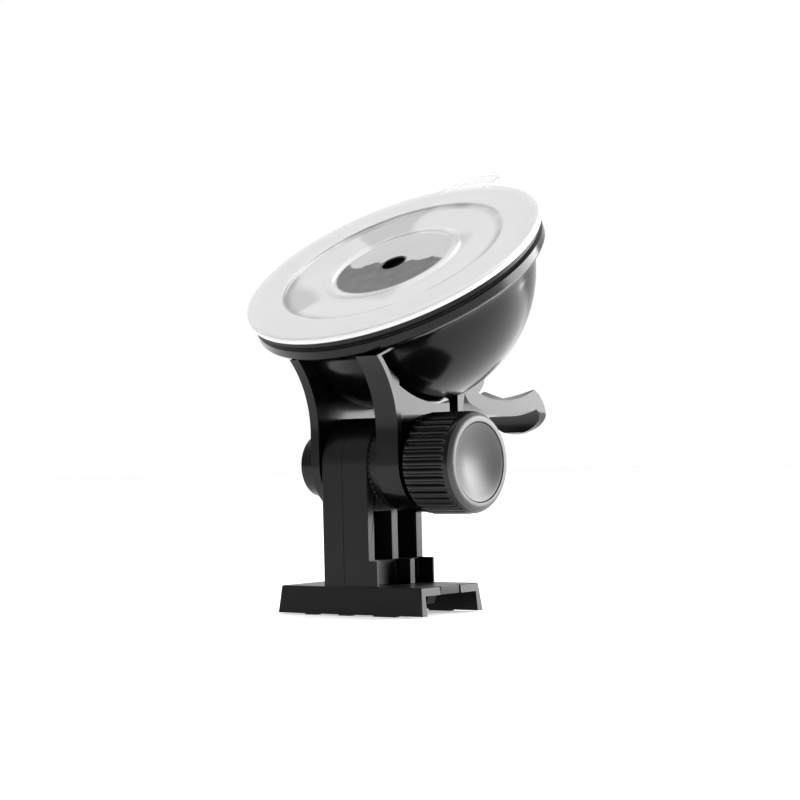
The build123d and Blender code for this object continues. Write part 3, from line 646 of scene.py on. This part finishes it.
def knob():
    """Radius = body(x) - depth(x) * wave(angle); wave = 0.5 - 0.5 tanh(2 cos(38 angle)) / tanh(2)."""
    back, face = knob_low.x, knob_high.x
    profile = rounded([
        (cap_low.x, BORE_RADIUS, 0), (back, BORE_RADIUS, 0.0003), (back, KNOB_RADIUS - 0.0009, 0.0004),
        (back + 0.0009, KNOB_RADIUS, 0.0008), (face - 0.0016, KNOB_RADIUS, 0.0009),
        (face - 0.0004, KNOB_RADIUS - 0.0008, 0.0006), (face, KNOB_RADIUS - 0.0014, 0.0006),
        (face, CAP_RADIUS + 0.00015, 0.0001), (face - 0.0005, CAP_RADIUS + 0.00005, 0.0001),
        (cap_low.x, CAP_RADIUS + 0.00005, 0)], steps=7, closed=False)
    profile = denser(profile, 0.0007, closed=False)
    along, radius = profile[:, 0][:, None], profile[:, 1][:, None]
    angle = np.linspace(0, 2 * np.pi, RIDGES * 16, endpoint=False)[None, :]
    wave = 0.5 - 0.5 * np.tanh(2 * np.cos(RIDGES * angle)) / np.tanh(2)
    start = np.clip((along - back - 0.0001) / 0.0008, 0, 1)
    end = np.clip((face - 0.0019 - along) / 0.0011, 0, 1)
    grip = np.clip((radius - KNOB_RADIUS + 0.0012) / 0.0008, 0, 1)
    depth = RIDGE_DEPTH * np.sqrt(start) * np.sqrt(end) * grip
    shape = (len(profile), angle.shape[1])
    grid = about_hinge(np.broadcast_to(along, shape), radius - depth * wave, np.broadcast_to(angle, shape))
    return surface("ridged_knob", grid, wrap_rows=True, wrap_columns=True)


def satin_lip(piece):
    """Gives the knob's faces near its front the same satin finish as the cap."""
    piece.data.materials.append(cap_black)
    for face in piece.data.polygons:
        if face.center.x > knob_high.x - SATIN_WIDTH:
            face.material_index = 1


ridged_knob = place("ridged_knob", knob(), "knob", knob_black,
                    replaced=["knob_body"], crease=60)
satin_lip(ridged_knob)

# %% [markdown]
# The cap in the knob's face is a shallow dish.  Its depth falls off from the middle as a smooth bowl,
# which gathers the light into one soft spot.

# %% The dished cap
DISH_DEPTH = 0.0024


def dished_cap():
    """Face at DISH_DEPTH * (1 - (r / rim)^2)^1.2 below the rim, closed by a short wall and a flat back."""
    rim = CAP_RADIUS
    face = cap_high.x
    bowl = np.linspace(0, 1, 36)
    dish = np.column_stack([face - DISH_DEPTH * (1 - bowl ** 2) ** 1.2, bowl * (rim - 0.00008)])
    wall = np.array([(face - 0.0001, rim), (face - 0.0005, rim), (cap_low.x, rim), (cap_low.x, 0)])
    profile = np.vstack([dish, wall])
    along, radius = profile[:, 0][:, None], profile[:, 1][:, None]
    angle = np.linspace(0, 2 * np.pi, 128, endpoint=False)[None, :]
    shape = (len(profile), angle.shape[1])
    grid = about_hinge(*(np.broadcast_to(part, shape) for part in (along, radius, angle)))
    return surface("dished_cap", grid, wrap_columns=True)


place("dished_cap", dished_cap(), "knob", cap_black, replaced=["knob_cap"], crease=50)

# %% [markdown]
# ## The stage: floor, light and camera
#
# A pale floor and a bright, even surrounding keep the picture plain.  A black part is drawn by what it
# reflects: one large soft panel at the back right lights every face that looks right, and leaves the
# front faces dark.  A weaker panel above lights the cup.

# %% Floor and surroundings
def floor(half=3.0):
    """Wide flat floor at the part's lowest point, pale and giving off a little light of its own."""
    mesh = bpy.data.meshes.new("floor")
    corners = [(-half, -half), (half, -half), (half, half), (-half, half)]
    mesh.from_pydata([(x, y, cad_box[0].z) for x, y in corners], [], [(0, 1, 2, 3)])
    plane = bpy.data.objects.new("floor", mesh)
    bpy.context.scene.collection.objects.link(plane)
    net = Net("floor_pale")
    cloud = net.noise(3.0)
    net.set(Base_Color=net.mix(cloud, grey(0.88), grey(0.92)), Roughness=0.85,
            Emission_Color=net.mix(cloud, grey(0.96), grey(1.0)), Emission_Strength=0.46)
    mesh.materials.append(net.material)


def surroundings(near, far, towards):
    """White light from all round, from a level near the front to a higher one towards the backdrop."""
    world = bpy.data.worlds.new("studio")
    world.use_nodes = True
    tree = world.node_tree
    seen = tree.nodes.new("ShaderNodeTexCoord")
    dot = tree.nodes.new("ShaderNodeVectorMath")
    dot.operation = "DOT_PRODUCT"
    dot.inputs[1].default_value = towards
    level = tree.nodes.new("ShaderNodeMapRange")
    level.interpolation_type = "SMOOTHSTEP"
    for socket, value in (("From Min", -0.6), ("From Max", 0.9), ("To Min", near), ("To Max", far)):
        level.inputs[socket].default_value = value
    tree.links.new(seen.outputs["Generated"], dot.inputs[0])
    tree.links.new(dot.outputs["Value"], level.inputs["Value"])
    back = tree.nodes["Background"]
    back.inputs["Color"].default_value = (1, 1, 1, 1)
    tree.links.new(level.outputs["Result"], back.inputs["Strength"])
    bpy.context.scene.world = world


def panel(name, towards, distance, size, power, target=(0, 0, 0.05)):
    """Soft square light at a distance along a direction from the part, facing it."""
    light = bpy.data.lights.new(name, "AREA")
    light.shape = "RECTANGLE"
    light.size, light.size_y = size
    light.energy = power
    lamp = bpy.data.objects.new(name, light)
    direction = Vector(towards).normalized()
    lamp.location = Vector(target) + direction * distance
    lamp.rotation_mode = "QUATERNION"
    lamp.rotation_quaternion = (-direction).to_track_quat("-Z", "Y")
    bpy.context.scene.collection.objects.link(lamp)
    return lamp


floor()
surroundings(near=0.25, far=1.0, towards=(-0.62, 0.78, 0.0))
panel("back_right_panel", towards=(0.62, 0.78, 0.1), distance=0.9, size=(0.8, 0.9), power=24)
panel("top_panel", towards=(-0.2, 0.1, 1.0), distance=1.0, size=(0.8, 0.8), power=6.5)
print("stage set")

# %% Camera
CAMERA_AT = (0.3032, -0.3783, 0.0350)
CAMERA_LOOK = (-0.61627, 0.78717, 0.02395)
CAMERA_UP = (0.03369, -0.00404, 0.99942)


def camera():
    """Long lens, close to level, from the front right."""
    data = bpy.data.cameras.new("camera")
    data.sensor_width = 36.0
    data.lens = 99.0
    data.clip_start, data.clip_end = 0.01, 20.0
    back = -Vector(CAMERA_LOOK).normalized()
    up = Vector(CAMERA_UP).normalized()
    right = up.cross(back).normalized()
    up = back.cross(right)
    turn = Matrix((right, up, back)).transposed()
    holder = bpy.data.objects.new("camera", data)
    holder.matrix_world = Matrix.Translation(CAMERA_AT) @ turn.to_4x4()
    bpy.context.scene.collection.objects.link(holder)
    bpy.context.scene.camera = holder


camera()
bpy.context.scene.view_settings.view_transform = "Standard"
print("camera set")
